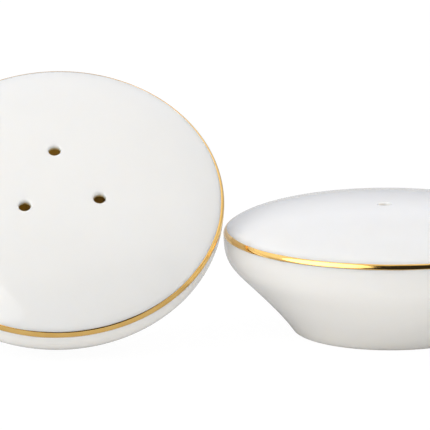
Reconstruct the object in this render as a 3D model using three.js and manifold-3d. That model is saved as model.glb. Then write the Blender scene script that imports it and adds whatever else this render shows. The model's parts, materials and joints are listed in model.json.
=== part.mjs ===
// A pair of table shakers in gilt-edged porcelain: a salt shaker with three pouring holes, tipped
// forward on its foot, and a pepper shaker with one pouring hole, standing upright beside it.
// Each shaker is a hollow saucer-shaped body with a thin gold band round its rim, and a soft
// stopper closes the filling hole in its recessed base.
//
// Frame: millimetres, +Z up, the table at z = 0. +X runs from the salt to the pepper shaker and
// -Y points at whoever the salt shaker leans towards. The origin is on the table, midway between
// the two rims and level with the middle of the pepper shaker.

import * as THREE from 'three';
import { mergeVertices } from 'three/addons/utils/BufferGeometryUtils.js';
import Module from 'manifold-3d';

const wasm = await Module();
wasm.setup();

// ---------------------------------------------------------------- driving dimensions

const RIM_RADIUS = 38;
const RIM_HEIGHT = 22.4;
const TOP_HEIGHT = 29.4;
const WALL = 2;

// The dome leaves the axis level and meets the rim upright. Reach and corner say how far each end
// of its curve keeps its direction, so a short corner gives the rim its tight upper edge.
const DOME_REACH = 18.7;
const DOME_CORNER = 3.9;

// Below the rim the belly falls upright and turns into a straight flank, which ends at the waist.
const BELLY_DROP = 7.7;
const FLANK_REACH = 14.5;
const FLANK_SLOPE = 46.8;
const WAIST_RADIUS = 25.9;
const WAIST_HEIGHT = 5;

// The foot is a ring with a flat tread between two rounded edges.
const FOOT_EDGE_RADIUS = 1;
const TREAD_OUTER_RADIUS = 21.3;
const TREAD_INNER_RADIUS = 19;
const FOOT_FLARE_ANGLE = 32;
const FOOT_FLARE_REACH = 3;

const RECESS_HEIGHT = 2.2;
const RECESS_FILLET = 0.8;
const BASE_THICKNESS = 2.2;
const FILL_HOLE_RADIUS = 9.5;
const FILL_EDGE = 0.5;
const FLOOR_CORNER = 1.5;

const POUR_HOLE_RADIUS = 1.4;
const POUR_CIRCLE_RADIUS = 9.9;
const POUR_TURN = 7.4;
const POUR_SHIFT_X = 0.5;
const POUR_SHIFT_Y = 0.5;
const PEPPER_SHIFT_X = -1.1;

const BAND_WIDTH = 1.4;
const BAND_THICKNESS = 0.25;
const BAND_RISE = 0.8;
const CLEARANCE = 0.3;

const FLANGE_RADIUS = 12;
const FLANGE_THICKNESS = 1.2;
const PLUG_TOP_RADIUS = 8.7;
const PLUG_HEIGHT = 5.6;
const PLUG_ROUND = 1.2;
const DIMPLE_RADIUS = 5.5;
const DIMPLE_DEPTH = 1.8;
const DIMPLE_SLOPE = 1;
const TAB_WIDTH = 7;
const TAB_REACH = 15.8;
const TAB_OVERLAP = 2;

// The salt shaker turns about the centre line of its rounded foot edge, so that the foot stays on
// the table at every angle. The hinge is the place of that line. The two axes are a little less
// than two rim radii apart, because the tipped rim stands in front of and above the upright one.
const AXIS_SPACING = 75.85;
const SALT_TILT = 40.3;
const SALT_HINGE_Y = -10.1;

const BODY_SEGMENTS = 48;
const STOPPER_SEGMENTS = 32;
const DRILL_SEGMENTS = 16;

// ---------------------------------------------------------------- profiles

const degrees = THREE.MathUtils.degToRad;
const point = (radius, height) => new THREE.Vector2(radius, height);

// The dome from the axis to the rim; the inner face of the wall is the same curve, inset.
function dome(inset) {
  const rim = RIM_RADIUS - inset;
  const top = TOP_HEIGHT - inset;
  return new THREE.CubicBezierCurve(
    point(0, top),
    point(DOME_REACH, top),
    point(rim, RIM_HEIGHT + DOME_CORNER - inset),
    point(rim, RIM_HEIGHT),
  );
}

// The belly from the rim to the waist, again either outer or inset.
function belly(inset) {
  const slope = degrees(FLANK_SLOPE);
  const along = point(Math.cos(slope), Math.sin(slope));
  const rim = RIM_RADIUS - inset;
  const waist = point(WAIST_RADIUS - inset * along.y, WAIST_HEIGHT + inset * along.x);
  return new THREE.CubicBezierCurve(
    point(rim, RIM_HEIGHT),
    point(rim, RIM_HEIGHT - BELLY_DROP + inset / 2),
    waist.clone().addScaledVector(along, FLANK_REACH - inset),
    waist,
  );
}

// Points on a circular arc, from one angle to another in degrees.
function arc(centre, radius, from, to, steps) {
  const points = [];
  for (let i = 0; i <= steps; i += 1) {
    const angle = degrees(from + ((to - from) * i) / steps);
    points.push(point(centre.x + radius * Math.cos(angle), centre.y + radius * Math.sin(angle)));
  }
  return points;
}

// A place on the outer face of the wall, by its distance from the rim along that face: over the
// dome where the distance is positive, down the belly where it is negative. A lift moves the place
// off the face, outwards where it is positive.
function fromRim(distance, lift = 0) {
  const curve = distance > 0 ? dome(0) : belly(0);
  const share = Math.abs(distance) / curve.getLength();
  const place = distance > 0 ? 1 - share : share;
  const tangent = curve.getTangentAt(place);
  return curve.getPointAt(place).addScaledVector(point(-tangent.y, tangent.x), lift);
}

// Evenly spaced numbers from one value to another, with both ends.
function spread(from, to, steps) {
  return Array.from({ length: steps + 1 }, (_, i) => from + ((to - from) * i) / steps);
}

// The outer wall from the waist to the axis, with the shallow seat that the gold band lies in.
function outerWall() {
  const half = BAND_WIDTH / 2 + CLEARANCE;
  const depth = BAND_THICKNESS + CLEARANCE;
  const seatLow = BAND_RISE - half;
  const seatHigh = BAND_RISE + half;
  const top = dome(0);
  const domeStart = top.getUtoTmapping(1 - seatHigh / top.getLength());
  return [
    ...belly(0).getPoints(8).reverse().slice(0, -1),
    fromRim(seatLow),
    ...spread(seatLow, seatHigh, 3).map((distance) => fromRim(distance, -depth)),
    ...spread(domeStart, 0, 8).map((t) => top.getPoint(t)),
  ];
}

// The foot from the waist to its tread and on to the recess under the base, listed upwards from
// the recess so that the whole wall runs in one direction.
function foot() {
  const outer = point(TREAD_OUTER_RADIUS, FOOT_EDGE_RADIUS);
  const inner = point(TREAD_INNER_RADIUS, FOOT_EDGE_RADIUS);
  const ring = TREAD_INNER_RADIUS - FOOT_EDGE_RADIUS;
  const fillet = point(ring - RECESS_FILLET, RECESS_HEIGHT - RECESS_FILLET);
  const edge = arc(outer, FOOT_EDGE_RADIUS, -90, -FOOT_FLARE_ANGLE, 3);
  const start = edge[edge.length - 1];
  const slope = degrees(FLANK_SLOPE);
  const waist = point(WAIST_RADIUS, WAIST_HEIGHT);
  const bend = waist.clone().addScaledVector(point(Math.cos(slope), Math.sin(slope)), -FOOT_FLARE_REACH);
  const flare = new THREE.QuadraticBezierCurve(start, bend, waist);
  return [
    ...arc(fillet, RECESS_FILLET, 90, 0, 2),
    ...arc(inner, FOOT_EDGE_RADIUS, 180, 270, 3),
    ...edge,
    ...spread(0, 1, 3).slice(1, -1).map((t) => flare.getPoint(t)),
  ];
}

// The wall round the filling hole, from the chamber's floor down to the recess.
function fillHole() {
  const floor = RECESS_HEIGHT + BASE_THICKNESS;
  const radius = FILL_HOLE_RADIUS + FILL_EDGE;
  return [
    ...arc(point(radius, floor - FILL_EDGE), FILL_EDGE, 90, 180, 2),
    ...arc(point(radius, RECESS_HEIGHT + FILL_EDGE), FILL_EDGE, 180, 270, 2),
  ];
}

// The corner between the chamber's flank and its floor.
function chamberCorner() {
  const floor = RECESS_HEIGHT + BASE_THICKNESS;
  const waist = belly(WALL).getPoint(1);
  const corner = point(waist.x - (waist.y - floor) / Math.tan(degrees(FLANK_SLOPE)), floor);
  const end = point(corner.x - FLOOR_CORNER, floor);
  return new THREE.QuadraticBezierCurve(waist, corner, end).getPoints(2).slice(1);
}

// ---------------------------------------------------------------- solids

function toSolid(geometry) {
  const bare = geometry.clone();
  bare.deleteAttribute('normal');
  bare.deleteAttribute('uv');
  const merged = mergeVertices(bare, 1e-5);
  return new wasm.Manifold(new wasm.Mesh({
    numProp: 3,
    vertProperties: new Float32Array(merged.attributes.position.array),
    triVerts: new Uint32Array(merged.index.array),
  }));
}

function toGeometry(solid) {
  const mesh = solid.getMesh();
  const geometry = new THREE.BufferGeometry();
  geometry.setAttribute('position', new THREE.BufferAttribute(mesh.vertProperties, 3));
  geometry.setIndex(new THREE.BufferAttribute(mesh.triVerts, 1));
  geometry.computeVertexNormals();
  return geometry;
}

// A profile turned about the vertical axis.
function turned(profile, segments = BODY_SEGMENTS) {
  return toSolid(new THREE.LatheGeometry(profile, segments).rotateX(Math.PI / 2));
}

// A hollow porcelain body with its pouring holes drilled straight down through the dome.
function bodyGeometry(holes) {
  const profile = [
    ...dome(WALL).getPoints(5),
    ...belly(WALL).getPoints(5).slice(1),
    ...chamberCorner(),
    ...fillHole(),
    ...foot(),
    ...outerWall(),
  ];
  let solid = turned(profile);
  for (const hole of holes) {
    const drill = new THREE.CylinderGeometry(
      POUR_HOLE_RADIUS,
      POUR_HOLE_RADIUS,
      WALL * 4,
      DRILL_SEGMENTS,
    );
    drill.rotateX(Math.PI / 2);
    drill.translate(hole.x, hole.y, TOP_HEIGHT);
    solid = solid.subtract(toSolid(drill));
  }
  return toGeometry(solid);
}

// The gold band, flush with the outer wall and clear of its seat.
function bandGeometry() {
  const low = BAND_RISE - BAND_WIDTH / 2;
  const high = BAND_RISE + BAND_WIDTH / 2;
  const outer = spread(low, high, 3).map((distance) => fromRim(distance));
  const inner = spread(high, low, 3).map((distance) => fromRim(distance, -BAND_THICKNESS));
  return toGeometry(turned([...outer, ...inner, outer[0]]));
}

// The stopper: a flange with a pull tab and a shallow dimple, and a tapered plug above it.
function stopperGeometry() {
  const seat = RECESS_HEIGHT - CLEARANCE;
  const bottom = seat - FLANGE_THICKNESS;
  const top = seat + PLUG_HEIGHT;
  const half = FLANGE_THICKNESS / 2;
  const neck = FILL_HOLE_RADIUS - CLEARANCE;
  const solid = turned([
    point(0, bottom + DIMPLE_DEPTH),
    point(DIMPLE_RADIUS - DIMPLE_SLOPE, bottom + DIMPLE_DEPTH),
    point(DIMPLE_RADIUS, bottom),
    ...arc(point(FLANGE_RADIUS - half, bottom + half), half, -90, 90, 4),
    point(neck, seat),
    ...arc(point(PLUG_TOP_RADIUS - PLUG_ROUND, top - PLUG_ROUND), PLUG_ROUND, 0, 90, 3),
    point(0, top),
  ], STOPPER_SEGMENTS);
  const tab = new THREE.Shape();
  tab.moveTo(FLANGE_RADIUS - TAB_OVERLAP, -TAB_WIDTH / 2);
  tab.lineTo(TAB_REACH - TAB_WIDTH / 2, -TAB_WIDTH / 2);
  tab.absarc(TAB_REACH - TAB_WIDTH / 2, 0, TAB_WIDTH / 2, -Math.PI / 2, Math.PI / 2);
  tab.lineTo(FLANGE_RADIUS - TAB_OVERLAP, TAB_WIDTH / 2);
  const plate = new THREE.ExtrudeGeometry(tab, {
    depth: FLANGE_THICKNESS,
    bevelEnabled: false,
    curveSegments: 8,
  });
  plate.translate(0, 0, bottom);
  return toGeometry(solid.add(toSolid(plate)));
}

// ---------------------------------------------------------------- materials

function porcelain() {
  return new THREE.MeshStandardMaterial({ color: 0xf2f1ec, roughness: 0.1, metalness: 0 });
}

function burnishedGold() {
  return new THREE.MeshStandardMaterial({ color: 0xcc9a3c, roughness: 0.2, metalness: 1 });
}

function softPlug() {
  return new THREE.MeshStandardMaterial({ color: 0xd9d7cf, roughness: 0.6, metalness: 0 });
}

// ---------------------------------------------------------------- assembly

// A shaker standing upright on the table with its axis on the group's own z axis.
function shaker(name, holes) {
  const parts = [
    ['body', bodyGeometry(holes), porcelain()],
    ['gilt_band', bandGeometry(), burnishedGold()],
    ['stopper', stopperGeometry(), softPlug()],
  ];
  const group = new THREE.Group();
  for (const [part, geometry, material] of parts) {
    const mesh = new THREE.Mesh(geometry, material);
    mesh.name = `${name}_${part}`;
    group.add(mesh);
  }
  return group;
}

// Three pouring holes on a circle, the first at the back and turned a little to the left. Pouring
// holes are pierced by hand before firing, so the circle's centre is a little off the shaker's
// axis, and so is the pepper shaker's single hole.
const pourCentre = point(POUR_SHIFT_X, POUR_SHIFT_Y);
const saltHoles = [0, 1, 2].map((i) => {
  const angle = degrees(90 + POUR_TURN + i * 120);
  const spoke = point(Math.cos(angle), Math.sin(angle));
  return pourCentre.clone().addScaledVector(spoke, POUR_CIRCLE_RADIUS);
});

const pepper = shaker('pepper', [point(PEPPER_SHIFT_X, 0)]);
pepper.position.set(AXIS_SPACING / 2, 0, 0);

// The salt shaker is set inside a hinge group, so that tilting the hinge tips it about its foot.
const salt = shaker('salt', saltHoles);
salt.position.set(0, TREAD_OUTER_RADIUS, -FOOT_EDGE_RADIUS);
const saltHinge = new THREE.Group();
saltHinge.position.set(-AXIS_SPACING / 2, SALT_HINGE_Y, FOOT_EDGE_RADIUS);
saltHinge.rotation.x = degrees(SALT_TILT);
saltHinge.add(salt);

const shakers = new THREE.Group();
shakers.add(pepper, saltHinge);

export default shakers;
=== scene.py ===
"""Looks for a pair of gilt-edged porcelain shakers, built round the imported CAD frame.

Each shaker's body, gold band and stopper is one closed mesh, made in the shaker's own upright
frame (its axis is z and the table is z = 0) and placed where the CAD has it: the pepper shaker
upright, the salt shaker tipped about its hinge. Lengths are metres.
"""

import json
import math
import random

import bmesh
import bpy
import numpy as np
from mathutils import Matrix, Vector


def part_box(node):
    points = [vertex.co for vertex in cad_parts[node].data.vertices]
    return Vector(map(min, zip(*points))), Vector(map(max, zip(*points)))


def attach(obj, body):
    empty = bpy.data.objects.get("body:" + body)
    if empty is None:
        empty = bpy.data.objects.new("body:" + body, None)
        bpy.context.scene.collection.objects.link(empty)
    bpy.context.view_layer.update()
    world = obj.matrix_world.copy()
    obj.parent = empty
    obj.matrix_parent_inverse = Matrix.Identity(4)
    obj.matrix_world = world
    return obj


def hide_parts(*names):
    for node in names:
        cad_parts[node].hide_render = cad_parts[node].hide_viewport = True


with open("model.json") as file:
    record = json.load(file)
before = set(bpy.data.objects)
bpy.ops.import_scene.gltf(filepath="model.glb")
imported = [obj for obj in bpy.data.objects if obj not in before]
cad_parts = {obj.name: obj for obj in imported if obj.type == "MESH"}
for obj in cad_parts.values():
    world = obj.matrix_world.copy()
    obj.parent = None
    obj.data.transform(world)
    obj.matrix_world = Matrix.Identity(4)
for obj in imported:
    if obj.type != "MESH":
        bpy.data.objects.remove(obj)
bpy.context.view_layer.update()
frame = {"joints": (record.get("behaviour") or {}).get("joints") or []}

MM = 0.001

# ---------------------------------------------------------------- sizes from the frame

pepper_low, pepper_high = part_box("pepper_body")
RIM_RADIUS = (pepper_high.x - pepper_low.x) / 2
TOP_HEIGHT = pepper_high.z
PEPPER_PLACE = Vector(((pepper_high.x + pepper_low.x) / 2, 0, 0))
tip = next(joint for joint in frame["joints"] if joint["name"] == "salt_tip")
HINGE = Vector(tip["pos_m"])
SALT_TILT = -math.radians(tip["range_deg"][0])

# ---------------------------------------------------------------- sizes shared with the CAD

RIM_HEIGHT = 22.4 * MM
WALL = 2 * MM
DOME_REACH = 18.7 * MM
DOME_CORNER = 3.9 * MM
BELLY_DROP = 7.7 * MM
FLANK_REACH = 14.5 * MM
FLANK_SLOPE = math.radians(46.8)
WAIST = (25.9 * MM, 5 * MM)
FOOT_EDGE = 1 * MM
TREAD_OUTER = 21.3 * MM
TREAD_INNER = 19 * MM
FLARE_ANGLE = 32
FLARE_REACH = 3 * MM
RECESS_HEIGHT = 2.2 * MM
RECESS_FILLET = 0.8 * MM
FLOOR_HEIGHT = 4.4 * MM
FLOOR_CORNER = 1.5 * MM
FILL_HOLE = 9.5 * MM
FILL_EDGE = 0.5 * MM
POUR_HOLE = 1.4 * MM
POUR_CIRCLE = 9.9 * MM
POUR_TURN = math.radians(7.4)
POUR_SHIFT = np.array([0.5 * MM, 0.5 * MM])
PEPPER_SHIFT = np.array([-1.1 * MM, 0])
BAND_WIDTH = 1.4 * MM
BAND_RISE = 0.8 * MM
CLEARANCE = 0.3 * MM
FLANGE_THICKNESS = 1.2 * MM
FLANGE_RADIUS = 12 * MM
TAB_END = 3.5 * MM
TAB_REACH = 15.8 * MM
PLUG_HEIGHT = 5.6 * MM
PLUG_ROUND = 1.2 * MM
DIMPLE_DEPTH = 1.8 * MM

# ---------------------------------------------------------------- finer shape

SEGMENTS = 192
WALL_ROWS = 37
INNER_BELLY_ROWS = 19
INNER_DOME_ROWS = 17

# How finely curves are sampled to look places up on them, the slack in telling heights apart and
# how close points are when they are welded.
CURVE_SAMPLES = 4001
WALL_SAMPLES = 2001
TOLERANCE = 0.1 * MM
WELD_DISTANCE = 0.002 * MM

# The pierced part of the dome is made of rings round each hole, wider apart further from it. The
# holes' edges are rounder inside than outside.
PATCH_RADIUS = 20 * MM
PATCH_SPOKE_POINTS = 21
PATCH_RINGS = 12
PATCH_GROWTH = 1.6
POUR_ROUND = 0.45 * MM
POUR_ROUND_INSIDE = 0.75 * MM
POUR_ROUND_RINGS = 9
POUR_WALL_ROWS = 5

# The glaze fades in above the tread between these two heights.
TREAD_BARE = 0.1 * MM
TREAD_GLAZED = 0.35 * MM

# ---------------------------------------------------------------- curves


def bezier(points, t):
    """Points of a Bezier curve, one row for each value of t."""
    t = np.atleast_1d(t)[:, None]
    n = len(points) - 1
    terms = [math.comb(n, i) * (1 - t) ** (n - i) * t**i * np.array(p) for i, p in enumerate(points)]
    return sum(terms)


def arc(centre, radius, start, end, steps):
    """Points of a circular arc between two angles in degrees."""
    angles = np.radians(np.linspace(start, end, steps + 1))
    return np.array(centre) + radius * np.column_stack([np.cos(angles), np.sin(angles)])


def dome(inset):
    """Control points of the dome from the axis to the rim; the wall's inner face is inset."""
    top, rim = TOP_HEIGHT - inset, RIM_RADIUS - inset
    corner = RIM_HEIGHT + DOME_CORNER - inset
    return [(0, top), (DOME_REACH, top), (rim, corner), (rim, RIM_HEIGHT)]


def belly(inset):
    """Control points of the side from the rim to the waist."""
    cos, sin = math.cos(FLANK_SLOPE), math.sin(FLANK_SLOPE)
    rim, reach = RIM_RADIUS - inset, FLANK_REACH - inset
    waist = (WAIST[0] - inset * sin, WAIST[1] + inset * cos)
    below_rim = (rim, RIM_HEIGHT - BELLY_DROP + inset / 2)
    return [(rim, RIM_HEIGHT), below_rim, (waist[0] + reach * cos, waist[1] + reach * sin), waist]


def dome_table(inset):
    """Parameter, radius and height at many places along the dome."""
    t = np.linspace(0, 1, CURVE_SAMPLES)
    curve = bezier(dome(inset), t)
    return t, curve[:, 0], curve[:, 1]


def wall_table():
    """Distances from the rim along the outer wall, up the dome or down the belly, and its points."""
    up = bezier(dome(0), np.linspace(1, 0, WALL_SAMPLES))
    down = bezier(belly(0), np.linspace(0, 1, WALL_SAMPLES))
    lengths = [np.cumsum(np.linalg.norm(np.diff(curve, axis=0), axis=1)) for curve in (up, down)]
    return np.concatenate([-lengths[1][::-1], [0], lengths[0]]), np.vstack([down[:0:-1], up])


WALL_TABLE = wall_table()


def from_rim(distance, lift):
    """Points at some distances from the rim along the outer wall, lifted off it."""
    table, points = WALL_TABLE
    step = 0.01 * MM

    def at(places):
        return np.column_stack([np.interp(places, table, points[:, i]) for i in range(2)])

    along = at(distance + step) - at(distance - step)
    along = along / np.linalg.norm(along, axis=1)[:, None]
    return at(distance) + lift[:, None] * np.column_stack([along[:, 1], -along[:, 0]])


def side_profile():
    """The wall outside the pierced part of the dome: down outside, under the base, up inside."""
    cos, sin = math.cos(FLANK_SLOPE), math.sin(FLANK_SLOPE)
    edge = arc((TREAD_OUTER, FOOT_EDGE), FOOT_EDGE, -FLARE_ANGLE, -90, 8)
    bend = (WAIST[0] - FLARE_REACH * cos, WAIST[1] - FLARE_REACH * sin)
    flare = bezier([WAIST, bend, tuple(edge[0])], np.linspace(0, 1, 9))
    ring = TREAD_INNER - FOOT_EDGE
    fillet = (ring - RECESS_FILLET, RECESS_HEIGHT - RECESS_FILLET)
    hole = FILL_HOLE + FILL_EDGE
    inner_waist = belly(WALL)[3]
    corner = (inner_waist[0] - (inner_waist[1] - FLOOR_HEIGHT) / math.tan(FLANK_SLOPE), FLOOR_HEIGHT)
    floor_end = (corner[0] - FLOOR_CORNER, FLOOR_HEIGHT)
    tables = [dome_table(inset) for inset in (0, WALL)]
    starts = [np.interp(PATCH_RADIUS, radius, t) for t, radius, _ in tables]
    return np.vstack([
        bezier(dome(0), np.linspace(starts[0], 1, WALL_ROWS)),
        bezier(belly(0), np.linspace(0, 1, WALL_ROWS))[1:],
        flare[1:],
        edge[1:],
        arc((TREAD_INNER, FOOT_EDGE), FOOT_EDGE, 270, 180, 6),
        arc(fillet, RECESS_FILLET, 0, 90, 4),
        np.linspace((fillet[0], RECESS_HEIGHT), (hole, RECESS_HEIGHT), 5)[1:-1],
        arc((hole, RECESS_HEIGHT + FILL_EDGE), FILL_EDGE, 270, 180, 5),
        arc((hole, FLOOR_HEIGHT - FILL_EDGE), FILL_EDGE, 180, 90, 5),
        np.linspace((hole, FLOOR_HEIGHT), floor_end, 6)[1:-1],
        bezier([floor_end, corner, inner_waist], np.linspace(0, 1, 7)),
        bezier(belly(WALL), np.linspace(1, 0, INNER_BELLY_ROWS))[1:],
        bezier(dome(WALL), np.linspace(1, starts[1], INNER_DOME_ROWS))[1:],
    ])


# ---------------------------------------------------------------- mesh code


class Shell:
    """Grids of points that are welded into one closed mesh."""

    def __init__(self):
        self.points = []
        self.faces = []

    def grid(self, rows, closed=False):
        """Adds quads between neighbouring rows; closed joins each row's last point to its first."""
        rows = np.asarray(rows, float)
        count, width, _ = rows.shape
        first = len(self.points)
        self.points.extend(rows.reshape(-1, 3).tolist())
        for i in range(count - 1):
            for j in range(width if closed else width - 1):
                a, b = first + i * width + j, first + i * width + (j + 1) % width
                self.faces.append((a, b, b + width, a + width))

    def piece(self, name, material):
        """The welded mesh as a smooth object, its faces pointing outwards."""
        mesh = bpy.data.meshes.new(name)
        mesh.from_pydata(self.points, [], self.faces)
        work = bmesh.new()
        work.from_mesh(mesh)
        bmesh.ops.remove_doubles(work, verts=work.verts, dist=WELD_DISTANCE)
        bmesh.ops.recalc_face_normals(work, faces=work.faces)
        work.to_mesh(mesh)
        work.free()
        mesh.shade_smooth()
        mesh.materials.append(material)
        piece = bpy.data.objects.new(name, mesh)
        bpy.context.scene.collection.objects.link(piece)
        return piece


def around(profile, turn):
    """A profile of radius and height, as rows of points round the axis."""
    angles = turn + np.linspace(0, 2 * math.pi, SEGMENTS, endpoint=False)
    radius, height = profile[:, 0][:, None], profile[:, 1][:, None]
    return np.stack([radius * np.cos(angles), radius * np.sin(angles), height + 0 * angles], axis=2)


def attribute(piece, name, values):
    """Stores one number for each vertex, for the materials to read."""
    layer = piece.data.attributes.new(name, "FLOAT", "POINT")
    layer.data.foreach_set("value", np.asarray(values, np.float32))


def coordinates(piece):
    """The mesh's vertices as rows of x, y and z."""
    flat = np.zeros(len(piece.data.vertices) * 3)
    piece.data.vertices.foreach_get("co", flat)
    return flat.reshape(-1, 3)


def smoothstep(low, high, value):
    """0 below low, 1 above high and a smooth rise between."""
    t = np.clip((value - low) / (high - low), 0, 1)
    return t * t * (3 - 2 * t)


def waves(rng, counts):
    """A smooth function of angle between about -1 and 1, with that many waves round the circle."""
    phases = [(n, rng.uniform(0, 2 * math.pi)) for n in counts]
    return lambda angle: sum(np.cos(n * angle + phase) for n, phase in phases) / len(phases)


# ---------------------------------------------------------------- bodies


def sector_edge(turn):
    """The edge of one third of the pierced patch, seen from the axis: out, round and back."""
    out = np.linspace(0, PATCH_RADIUS, PATCH_SPOKE_POINTS)
    half = math.pi / 3
    sweep = np.linspace(turn - half, turn + half, SEGMENTS // 3 + 1)
    start = np.outer(out, [math.cos(turn - half), math.sin(turn - half)])
    end = np.outer(out[::-1], [math.cos(turn + half), math.sin(turn + half)])
    rim = PATCH_RADIUS * np.column_stack([np.cos(sweep), np.sin(sweep)])
    return np.vstack([start, rim[1:-1], end[:-1]])


def circle_edge():
    """The edge of the whole pierced patch."""
    sweep = np.linspace(0, 2 * math.pi, SEGMENTS, endpoint=False)
    return PATCH_RADIUS * np.column_stack([np.cos(sweep), np.sin(sweep)])


def pour_hole(shell, centre, edge):
    """One pouring hole and the part of the dome round it, out to edge, on both faces of the wall."""
    _, outer_r, outer_z = dome_table(0)
    _, inner_r, inner_z = dome_table(WALL)
    away = edge - centre
    reach = np.linalg.norm(away, axis=1)
    away = away / reach[:, None]

    def ring(distance, radii, heights, lift):
        flat = centre + away * distance[:, None]
        height = np.interp(np.linalg.norm(flat, axis=1), radii, heights) + lift
        return np.column_stack([flat, height])

    def face(radii, heights, rounding, side):
        turns = np.linspace(math.pi / 2, 0, POUR_ROUND_RINGS)
        rounded = [
            ring(
                np.full(len(edge), POUR_HOLE + rounding * (1 - math.sin(a))),
                radii,
                heights,
                -side * rounding * (1 - math.cos(a)),
            )
            for a in turns
        ]
        lip = POUR_HOLE + rounding
        spread = np.linspace(0, 1, PATCH_RINGS)[1:] ** PATCH_GROWTH
        return rounded + [ring(lip + (reach - lip) * s, radii, heights, 0) for s in spread]

    outside = face(outer_r, outer_z, POUR_ROUND, 1)
    inside = face(inner_r, inner_z, POUR_ROUND_INSIDE, -1)
    wall = [outside[0] + (inside[0] - outside[0]) * s for s in np.linspace(0, 1, POUR_WALL_ROWS)]
    for rows in (outside, inside, wall):
        shell.grid(rows, closed=True)


def inside_wall(radius, height):
    """1 for places nearer the chamber than the middle of the wall, 0 for the rest."""
    low, high = belly(WALL / 2), dome(WALL / 2)
    upwards = np.linspace(1, 0, WALL_SAMPLES)
    middle = np.vstack([bezier(low, upwards), bezier(high, upwards)])
    limit = np.interp(height, middle[:, 1], middle[:, 0], left=WAIST[0] - WALL, right=0)
    return (radius < limit) & (height > FLOOR_HEIGHT - TOLERANCE)


def shaker_body(name, holes, material):
    """The hollow porcelain body with one or three pouring holes."""
    shell = Shell()
    turn = POUR_TURN if holes == 3 else 0.0
    shell.grid(around(side_profile(), turn), closed=True)
    if holes == 3:
        for i in range(3):
            angle = math.pi / 2 + POUR_TURN + i * 2 * math.pi / 3
            centre = POUR_SHIFT + POUR_CIRCLE * np.array([math.cos(angle), math.sin(angle)])
            pour_hole(shell, centre, sector_edge(angle))
    else:
        pour_hole(shell, PEPPER_SHIFT, circle_edge())
    body = shell.piece(name, material)
    place = coordinates(body)
    radius = np.hypot(place[:, 0], place[:, 1])
    near_tread = (radius > TREAD_INNER - FOOT_EDGE) & (radius < TREAD_OUTER + 2 * FOOT_EDGE)
    bare = 1 - smoothstep(TREAD_BARE, TREAD_GLAZED, place[:, 2])
    attribute(body, "bare", np.where(near_tread, bare, 0))
    # The chamber side of the wall is left rough, and the material gives it a painted warm glow.
    attribute(body, "inside", inside_wall(radius, place[:, 2]))
    return body


# ---------------------------------------------------------------- gold bands

BAND_SEGMENTS = 288

# The gold's face is a low crown proud of the glaze, and its back is sunk in the glaze. BAND_BACK
# gives the points of the back, as shares of half the width.
BAND_PROUD = 0.05 * MM
BAND_SUNK = 0.12 * MM
BAND_CROWN_POINTS = 13
BAND_CROWN_POWER = 0.6
BAND_BACK = (0.85, 0.3, -0.3, -0.85)

# The brush's wander: how many waves round the rim, and how far they take the width, as a share of
# itself, and the place.
WIDTH_WAVES = (3, 5, 11, 23)
WIDTH_WANDER = 0.07
PLACE_WAVES = (2, 3, 7)
PLACE_WANDER = 0.05 * MM


def gilt_band(name, seed, material):
    """The hand-painted gold line, a thin crowned film that wanders slightly in width and height."""
    rng = random.Random(seed)
    width_wave, place_wave = waves(rng, WIDTH_WAVES), waves(rng, PLACE_WAVES)
    angles = np.linspace(0, 2 * math.pi, BAND_SEGMENTS, endpoint=False)
    face = np.sin(np.linspace(-1, 1, BAND_CROWN_POINTS) * math.pi / 2)
    across = np.concatenate([face, BAND_BACK])
    crown = np.sqrt(np.maximum(1 - across**2, 0)) ** BAND_CROWN_POWER
    lift = np.where(np.arange(len(across)) < len(face), BAND_PROUD * crown, -BAND_SUNK)
    rows = []
    for angle in angles:
        half = BAND_WIDTH / 2 * (1 + WIDTH_WANDER * width_wave(angle))
        middle = BAND_RISE + PLACE_WANDER * place_wave(angle)
        point = from_rim(middle + across * half, lift)
        rows.append(np.column_stack([
            point[:, 0] * math.cos(angle),
            point[:, 0] * math.sin(angle),
            point[:, 1],
        ]))
    rows.append(rows[0])
    shell = Shell()
    shell.grid(rows, closed=True)
    band = shell.piece(name, material)
    place = coordinates(band)
    attribute(band, "angle", np.arctan2(place[:, 1], place[:, 0]))
    attribute(band, "height", place[:, 2])
    return band


# ---------------------------------------------------------------- stoppers

STOPPER_SEGMENTS = 160
SEAT = RECESS_HEIGHT - CLEARANCE
NECK = FILL_HOLE - CLEARANCE

# How softly the round flange and its tab run into each other, and where along a radius the flange
# starts to stretch into the tab and where it ends.
TAB_BLEND = 0.35 * MM
TAB_STRETCH = (8.5 * MM, 11.2 * MM)

# The dimple under the flange: the mark of the mould's gate at its centre, its flat, its corner and
# its edge, with the radii that round them, and where the flange's flat underside starts.
GATE_DEPTH = 1.5 * MM
GATE_RADIUS = 0.9 * MM
GATE_ROUND = 0.2 * MM
DIMPLE_FLAT = (1.2 * MM, 4.2 * MM)
DIMPLE_CORNER = 0.5 * MM
DIMPLE_EDGE_RADIUS = 5.7 * MM
DIMPLE_EDGE = 0.6 * MM
FLANGE_FLAT = 6.4 * MM

# The plug tapers upwards, bulges in three sealing beads and is cored from the top. PLUG_FLAT is a
# point on its flat end, and CORE gives the core's last points: radii, and heights above the seat.
BEADS = 3
BEAD_POINTS = 25
BEAD_HEIGHT = 0.15 * MM
NECK_START = 0.15 * MM
PLUG_TAPER = 0.25 * MM
PLUG_FLAT = 6.2 * MM
CORE_EDGE_RADIUS = 6 * MM
CORE_EDGE = 0.3 * MM
CORE = ((5.5 * MM, 2.4 * MM), (5 * MM, 2 * MM), (2 * MM, 1.9 * MM), (0, 1.9 * MM))

# Grip ribs across the tab's underside. Each pair says where they fade in or out: two along the tab
# and one across it.
RIB_PITCH = 1.1 * MM
RIB_CENTRE = 12.4 * MM
RIB_DEPTH = 0.2 * MM
RIBS_START = (11.6 * MM, 12.1 * MM)
RIBS_END = (14.3 * MM, 14.8 * MM)
RIBS_SIDE = (2.2 * MM, 2.6 * MM)


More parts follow.
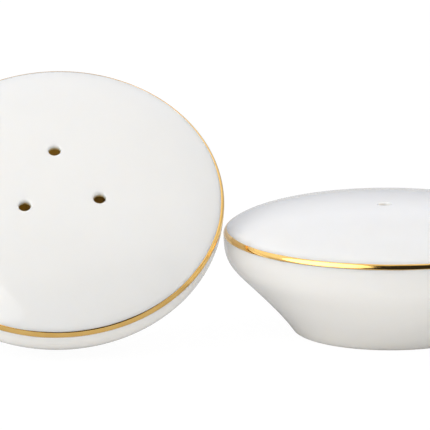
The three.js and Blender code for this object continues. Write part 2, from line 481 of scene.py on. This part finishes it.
def tab_radius(angles):
    """The flange's outline: a circle with a round-ended pull tab towards +x, blended smoothly."""
    centre = TAB_REACH - TAB_END
    inside = np.maximum(TAB_END**2 - (centre * np.sin(angles)) ** 2, 0)
    tab = np.where(np.cos(angles) > 0, centre * np.cos(angles) + np.sqrt(inside), 0)
    gap = np.clip(0.5 + 0.5 * (tab - FLANGE_RADIUS) / TAB_BLEND, 0, 1)
    return FLANGE_RADIUS * (1 - gap) + tab * gap + TAB_BLEND * gap * (1 - gap)


def stopper_profile():
    """Half the plug's section: from the dimple's centre out, up its side and in over its core."""
    bottom = SEAT - FLANGE_THICKNESS
    top = SEAT + PLUG_HEIGHT
    half = FLANGE_THICKNESS / 2
    gate, dimple = bottom + GATE_DEPTH, bottom + DIMPLE_DEPTH
    up = np.linspace(0, 1, BEAD_POINTS)
    neck_side = np.column_stack([
        NECK - BEAD_HEIGHT - PLUG_TAPER * up + BEAD_HEIGHT * np.sin(up * BEADS * math.pi) ** 2,
        SEAT + NECK_START + up * (PLUG_HEIGHT - PLUG_ROUND - NECK_START),
    ])
    shoulder = neck_side[-1, 0] - PLUG_ROUND
    return np.vstack([
        [(0, gate), (GATE_RADIUS - 2 * GATE_ROUND, gate)],
        arc((GATE_RADIUS - GATE_ROUND, gate + GATE_ROUND), GATE_ROUND, -90, 0, 3),
        np.linspace((DIMPLE_FLAT[0], dimple), (DIMPLE_FLAT[1], dimple), 4),
        arc((DIMPLE_FLAT[1], dimple - DIMPLE_CORNER), DIMPLE_CORNER, 90, 20, 4),
        arc((DIMPLE_EDGE_RADIUS, bottom + DIMPLE_EDGE), DIMPLE_EDGE, 200, 270, 5),
        np.linspace((FLANGE_FLAT, bottom), (FLANGE_RADIUS - half, bottom), 9),
        arc((FLANGE_RADIUS - half, bottom + half), half, -90, 90, 10)[1:],
        [(FILL_HOLE + FILL_EDGE - CLEARANCE, SEAT), (NECK, SEAT)],
        neck_side,
        arc((shoulder, top - PLUG_ROUND), PLUG_ROUND, 0, 90, 6)[1:],
        [(PLUG_FLAT, top)],
        arc((CORE_EDGE_RADIUS, top - CORE_EDGE), CORE_EDGE, 90, 180, 3),
        [(radius, SEAT + height) for radius, height in CORE],
    ])


def stopper(name, material):
    """The soft plug: a dimpled flange with a ribbed pull tab, sealing beads and a cored top."""
    profile = stopper_profile()
    bottom = SEAT - FLANGE_THICKNESS
    angles = np.linspace(0, 2 * math.pi, STOPPER_SEGMENTS, endpoint=False)
    grow = tab_radius(angles) - FLANGE_RADIUS
    below_seat = profile[:, 1] < SEAT + TOLERANCE
    share = np.where(below_seat, smoothstep(*TAB_STRETCH, profile[:, 0]), 0)
    radius = profile[:, 0][:, None] + share[:, None] * grow
    x, y = radius * np.cos(angles), radius * np.sin(angles)
    z = profile[:, 1][:, None] + 0 * angles
    ribs = 0.5 + 0.5 * np.cos((x - RIB_CENTRE) / RIB_PITCH * 2 * math.pi)
    on_tab = smoothstep(*RIBS_START, x) * (1 - smoothstep(*RIBS_END, x))
    on_tab = on_tab * (1 - smoothstep(*RIBS_SIDE, abs(y))) * (z < bottom + TOLERANCE)
    shell = Shell()
    shell.grid(np.stack([x, y, z - RIB_DEPTH * ribs * on_tab], axis=2), closed=True)
    return shell.piece(name, material)


# ---------------------------------------------------------------- materials

# Where the noise texture's values mostly lie.
NOISE_LOW = 0.3
NOISE_HIGH = 0.7

GLAZE_COLOURS = ((0.875, 0.862, 0.835), (0.857, 0.843, 0.815))
TREAD_COLOUR = (0.74, 0.70, 0.63)
# The chamber side's warm tan is painted light: it stands in for warm light that comes through the
# translucent wall.
INSIDE_PAINTED_GLOW_COLOUR = (0.765, 0.655, 0.42)
UNGLAZED_ROUGHNESS = 0.55
SILICONE_COLOURS = ((0.72, 0.71, 0.67), (0.66, 0.65, 0.61))
GOLD_COLOURS = ((0.96, 0.63, 0.22), (0.90, 0.56, 0.17))

# The brush's streaks are this many times longer along the rim than across it.
GOLD_STREAK = 6


class Nodes:
    """The node tree of a material or of the world, with short ways to add and join nodes."""

    def __init__(self, owner, coordinate):
        owner.use_nodes = True
        self.tree = owner.node_tree
        self.place = self.add("ShaderNodeTexCoord").outputs[coordinate]

    def add(self, kind, **settings):
        """A new node with these settings."""
        made = self.tree.nodes.new(kind)
        for key, value in settings.items():
            setattr(made, key, value)
        return made

    def join(self, source, target):
        """Another node's output, or a constant, on an input."""
        if isinstance(source, bpy.types.NodeSocket):
            self.tree.links.new(source, target)
        else:
            target.default_value = source

    def noise(self, wavelength, detail, vector=None):
        """Noise with features about one wavelength across, from 0 to 1."""
        made = self.add("ShaderNodeTexNoise")
        made.inputs["Scale"].default_value = 1 / wavelength
        made.inputs["Detail"].default_value = detail
        self.join(vector or self.place, made.inputs["Vector"])
        return made.outputs["Fac"]

    def ranged(self, value, low, high, source=(NOISE_LOW, NOISE_HIGH), shape="LINEAR"):
        """A value carried from its source range to the range from low to high."""
        made = self.add("ShaderNodeMapRange", clamp=True, interpolation_type=shape)
        numbers = (value, *source, low, high)
        for key, number in zip(("Value", "From Min", "From Max", "To Min", "To Max"), numbers):
            self.join(number, made.inputs[key])
        return made.outputs["Result"]

    def mixed(self, share, first, second):
        """A colour between two others, each a colour or another node's output."""
        made = self.add("ShaderNodeMix", data_type="RGBA")
        self.join(share, made.inputs[0])
        for socket, colour in zip(made.inputs[6:8], (first, second)):
            self.join((*colour, 1) if isinstance(colour, tuple) else colour, socket)
        return made.outputs[2]

    def maths(self, operation, first, second):
        """Two values, each a number or another node's output, put together."""
        made = self.add("ShaderNodeMath", operation=operation)
        self.join(first, made.inputs[0])
        self.join(second, made.inputs[1])
        return made.outputs[0]


class Surface(Nodes):
    """A material's nodes and its shader."""

    def __init__(self, name):
        self.material = bpy.data.materials.new(name)
        super().__init__(self.material, "Object")
        self.shader = self.tree.nodes["Principled BSDF"]

    def bump(self, height, depth, after=None):
        """A normal from a height between 0 and 1 that stands for that depth in metres."""
        made = self.add("ShaderNodeBump")
        made.inputs["Distance"].default_value = depth
        self.join(height, made.inputs["Height"])
        if after is not None:
            self.join(after, made.inputs["Normal"])
        return made.outputs["Normal"]

    def read(self, name):
        """A number stored on the mesh's vertices."""
        return self.add("ShaderNodeAttribute", attribute_name=name).outputs["Fac"]

    def set(self, **values):
        """The shader's own sockets, named with underscores for spaces."""
        for key, value in values.items():
            self.join(value, self.shader.inputs[key.replace("_", " ")])


def porcelain():
    """Warm white bone china under a clear gloss glaze, bare on the foot's tread and inside; the
    inside's warm tan is painted light that stands in for light coming through the translucent wall.
    """
    n = Surface("bone_china_glaze")
    inside = n.read("inside")
    tread = n.read("bare")
    cloud = n.ranged(n.noise(22 * MM, 3), 0, 1)
    outside = n.mixed(tread, n.mixed(cloud, *GLAZE_COLOURS), TREAD_COLOUR)
    gloss = n.ranged(n.noise(6 * MM, 4), 0.03, 0.06)
    unglazed = n.maths("MULTIPLY", n.maths("MAXIMUM", tread, inside), UNGLAZED_ROUGHNESS)
    ripple = n.bump(n.noise(16 * MM, 1), 0.03 * MM)
    n.set(
        # The chamber side gets the painted warm glow of light through the wall.
        Base_Color=n.mixed(inside, outside, INSIDE_PAINTED_GLOW_COLOUR),
        Roughness=n.maths("MAXIMUM", gloss, unglazed),
        Normal=n.bump(n.noise(1.1 * MM, 2), 0.0007 * MM, ripple),
        Subsurface_Weight=1.0,
        Subsurface_Radius=(1.0, 0.93, 0.84),
        Subsurface_Scale=3.5 * MM,
        IOR=1.52,
    )
    return n.material


def gold():
    """Burnished bright gold, brushed on along the rim and fired."""
    n = Surface("burnished_gold")
    along = n.add("ShaderNodeCombineXYZ")
    n.join(n.maths("MULTIPLY", n.read("angle"), RIM_RADIUS / GOLD_STREAK), along.inputs[0])
    n.join(n.read("height"), along.inputs[1])
    streak = n.noise(0.25 * MM, 3, along.outputs[0])
    cloud = n.noise(5 * MM, 3)
    n.set(
        Base_Color=n.mixed(n.ranged(cloud, 0, 1), *GOLD_COLOURS),
        Roughness=n.maths("ADD", n.ranged(streak, 0, 0.05), n.ranged(cloud, 0.05, 0.10)),
        Normal=n.bump(streak, 0.004 * MM, n.bump(cloud, 0.02 * MM)),
        Metallic=1.0,
    )
    return n.material


def silicone():
    """Soft milky silicone with a moulded satin skin."""
    n = Surface("soft_silicone")
    n.set(
        Base_Color=n.mixed(n.ranged(n.noise(4 * MM, 4), 0, 1), *SILICONE_COLOURS),
        Roughness=n.ranged(n.noise(1.5 * MM, 4), 0.42, 0.58),
        Normal=n.bump(n.noise(0.35 * MM, 3), 0.012 * MM),
        Subsurface_Weight=0.35,
        Subsurface_Radius=(1.0, 0.95, 0.85),
        Subsurface_Scale=2 * MM,
        IOR=1.41,
    )
    return n.material


# ---------------------------------------------------------------- the two shakers


def shaker(name, holes, place, seed, materials):
    """One shaker's three pieces, each riding on its CAD body and standing for its CAD node."""
    glaze, gilt, rubber = materials
    pieces = (
        ("body", shaker_body(f"{name}_porcelain", holes, glaze), "shaker", "porcelain"),
        ("gilt_band", gilt_band(f"{name}_gold_line", seed, gilt), "shaker", "gilt"),
        ("stopper", stopper(f"{name}_plug", rubber), "stopper", "stopper"),
    )
    for node, piece, body, slot in pieces:
        piece.data.transform(place)
        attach(piece, f"{name}_{body}")
        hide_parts(f"{name}_{node}")


surfaces = (porcelain(), gold(), silicone())
upright = Matrix.Translation(PEPPER_PLACE)

# The hinge is the centre of the rounded foot edge at the front.
foot_edge = Matrix.Translation((0, TREAD_OUTER, -FOOT_EDGE))
tipped = Matrix.Translation(HINGE) @ Matrix.Rotation(SALT_TILT, 4, "X") @ foot_edge
shaker("pepper", holes=1, place=upright, seed=11, materials=surfaces)
shaker("salt", holes=3, place=tipped, seed=23, materials=surfaces)

# ---------------------------------------------------------------- camera, table and light

# The place at the middle of the picture, the camera's elevation and distance from there, the width
# that fills the picture and how far the camera sees.
VIEW_CENTRE = Vector((-2.02 * MM, 0, 26.75 * MM))
VIEW_ELEVATION = math.radians(12.65)
VIEW_DISTANCE = 2.0
VIEW_WIDTH = 98.6 * MM
VIEW_LIMIT = 100.0

# The table has one colour for the light that it sends up, one for its mirror image in the shakers
# and one for the camera. It glows a little, and for the camera so much that it shows as white.
TABLE_SIZE = 12.0
TABLE_COLOUR = (0.95, 0.94, 0.92)
TABLE_COLOUR_MIRRORED = (0.5, 0.5, 0.5)
TABLE_COLOUR_SEEN = (0.06, 0.06, 0.06)
TABLE_GLOW = 0.08
TABLE_GLOW_SEEN = 0.96

LIGHT_DISTANCE = 1.0

# The room's brightness at eye level, the least that dark patches leave of it and the least that
# the camera sees. A patch is round: the azimuth left of the camera and the elevation of its centre,
# the angles from there where it starts to fade and where it ends, and the radiance that it adds.
# The mirrored patches are seen in reflections only.
ROOM_HORIZON = 0.52
ROOM_DARKEST = 0.03
ROOM_SEEN = 1.1
CEILING = (0, 90, 55, 90, 0.6)
DARK_FRONT = (-8, 45, 25, 42, -0.6)
ROOM_PATCHES = (CEILING, DARK_FRONT)
WINDOW_MIRRORED = (53, 38, 29.6, 30.4, 2.3)
FRONT_MIRRORED = (-15, 35, 28, 38, -1.2)
BACK_MIRRORED = (180, 38, 6, 22, -0.35)
MIRRORED_PATCHES = (WINDOW_MIRRORED, FRONT_MIRRORED, BACK_MIRRORED)

# The room's colour, and that of the wall behind the shakers, which has the angles of a patch.
ROOM_COLOUR = (1.0, 0.985, 0.965)
BACK_WALL_COLOUR = (0.97, 0.995, 1.1)
BACK_WALL = (180, 15, 25, 60)


def towards(azimuth, elevation):
    """The direction at some degrees left of the camera and above the horizon."""
    turn, rise = math.radians(azimuth), math.radians(elevation)
    return Vector((-math.sin(turn) * math.cos(rise), -math.cos(turn) * math.cos(rise), math.sin(rise)))


def camera():
    """A long lens a little above the table, looking along +Y."""
    data = bpy.data.cameras.new("camera")
    data.lens = data.sensor_width * VIEW_DISTANCE / VIEW_WIDTH
    data.clip_end = VIEW_LIMIT
    made = bpy.data.objects.new("camera", data)
    back = Vector((0, -math.cos(VIEW_ELEVATION), math.sin(VIEW_ELEVATION)))
    made.location = VIEW_CENTRE + back * VIEW_DISTANCE
    made.rotation_euler = (math.pi / 2 - VIEW_ELEVATION, 0, 0)
    bpy.context.scene.collection.objects.link(made)
    bpy.context.scene.camera = made


def table():
    """A plain table top that shows as white from above and is clear from below."""
    mesh = bpy.data.meshes.new("table")
    half = TABLE_SIZE / 2
    corners = [(-half, -half, 0), (half, -half, 0), (half, half, 0), (-half, half, 0)]
    mesh.from_pydata(corners, [], [(0, 1, 2, 3)])
    top = bpy.data.objects.new("table", mesh)
    bpy.context.scene.collection.objects.link(top)
    n = Surface("white_table")
    path = n.add("ShaderNodeLightPath")
    seen = path.outputs["Is Camera Ray"]
    unseen = n.mixed(path.outputs["Is Glossy Ray"], TABLE_COLOUR, TABLE_COLOUR_MIRRORED)
    n.set(
        Base_Color=n.mixed(seen, unseen, TABLE_COLOUR_SEEN),
        Emission_Strength=n.ranged(seen, TABLE_GLOW, TABLE_GLOW_SEEN, source=(0, 1)),
        Emission_Color=(1, 1, 1, 1),
        Roughness=0.9,
        Specular_IOR_Level=0.0,
    )
    choose = n.add("ShaderNodeMixShader")
    n.join(n.add("ShaderNodeNewGeometry").outputs["Backfacing"], choose.inputs[0])
    n.join(n.shader.outputs[0], choose.inputs[1])
    n.join(n.add("ShaderNodeBsdfTransparent").outputs[0], choose.inputs[2])
    n.join(choose.outputs[0], n.tree.nodes["Material Output"].inputs["Surface"])
    mesh.materials.append(n.material)


def softbox(name, azimuth, elevation, spread, radiance):
    """A rectangular area light that faces the shakers from an azimuth left of the camera.

    Spread gives how many degrees it reaches from its middle, seen from the shakers: to each side,
    and up and down. It casts light only; what is mirrored in its place is the room's own patch.
    """
    direction = towards(azimuth, elevation)
    width, height = (2 * LIGHT_DISTANCE * math.tan(math.radians(angle)) for angle in spread)
    data = bpy.data.lights.new(name, "AREA")
    data.shape = "RECTANGLE"
    data.size = width
    data.size_y = height
    data.energy = radiance * math.pi * width * height
    made = bpy.data.objects.new(name, data)
    made.location = VIEW_CENTRE + direction * LIGHT_DISTANCE
    made.rotation_euler = direction.to_track_quat("Z", "Y").to_euler()
    made.visible_camera = False
    made.visible_glossy = False
    bpy.context.scene.collection.objects.link(made)


def room():
    """Pale walls under a brighter ceiling, with light and dark patches; plain white seen directly."""
    world = bpy.data.worlds.new("room")
    n = Nodes(world, "Generated")
    background = n.tree.nodes["Background"]
    path = n.add("ShaderNodeLightPath")

    def near(azimuth, elevation, inner, outer):
        """1 within the inner angle of a direction, 0 beyond the outer one."""
        dot = n.add("ShaderNodeVectorMath", operation="DOT_PRODUCT")
        n.join(n.place, dot.inputs[0])
        n.join(towards(azimuth, elevation), dot.inputs[1])
        limits = [math.cos(math.radians(angle)) for angle in (outer, inner)]
        return n.ranged(dot.outputs["Value"], 0, 1, source=limits, shape="SMOOTHSTEP")

    def patched(light, patches, share):
        """The light with a share of each patch's radiance added."""
        for *place, radiance in patches:
            patch = n.maths("MULTIPLY", near(*place), radiance)
            light = n.maths("ADD", light, n.maths("MULTIPLY", patch, share))
        return light

    light = patched(ROOM_HORIZON, ROOM_PATCHES, 1.0)
    light = patched(light, MIRRORED_PATCHES, path.outputs["Is Glossy Ray"])
    light = n.maths("MAXIMUM", light, ROOM_DARKEST)
    seen = n.maths("MULTIPLY", path.outputs["Is Camera Ray"], ROOM_SEEN)
    n.join(n.maths("MAXIMUM", light, seen), background.inputs["Strength"])
    tint = n.mixed(near(*BACK_WALL), ROOM_COLOUR, BACK_WALL_COLOUR)
    n.join(tint, background.inputs["Color"])
    bpy.context.scene.world = world


camera()
table()
room()
softbox("window_left", azimuth=48, elevation=42, spread=(31, 24), radiance=1.25)
bpy.context.scene.view_settings.view_transform = "Standard"
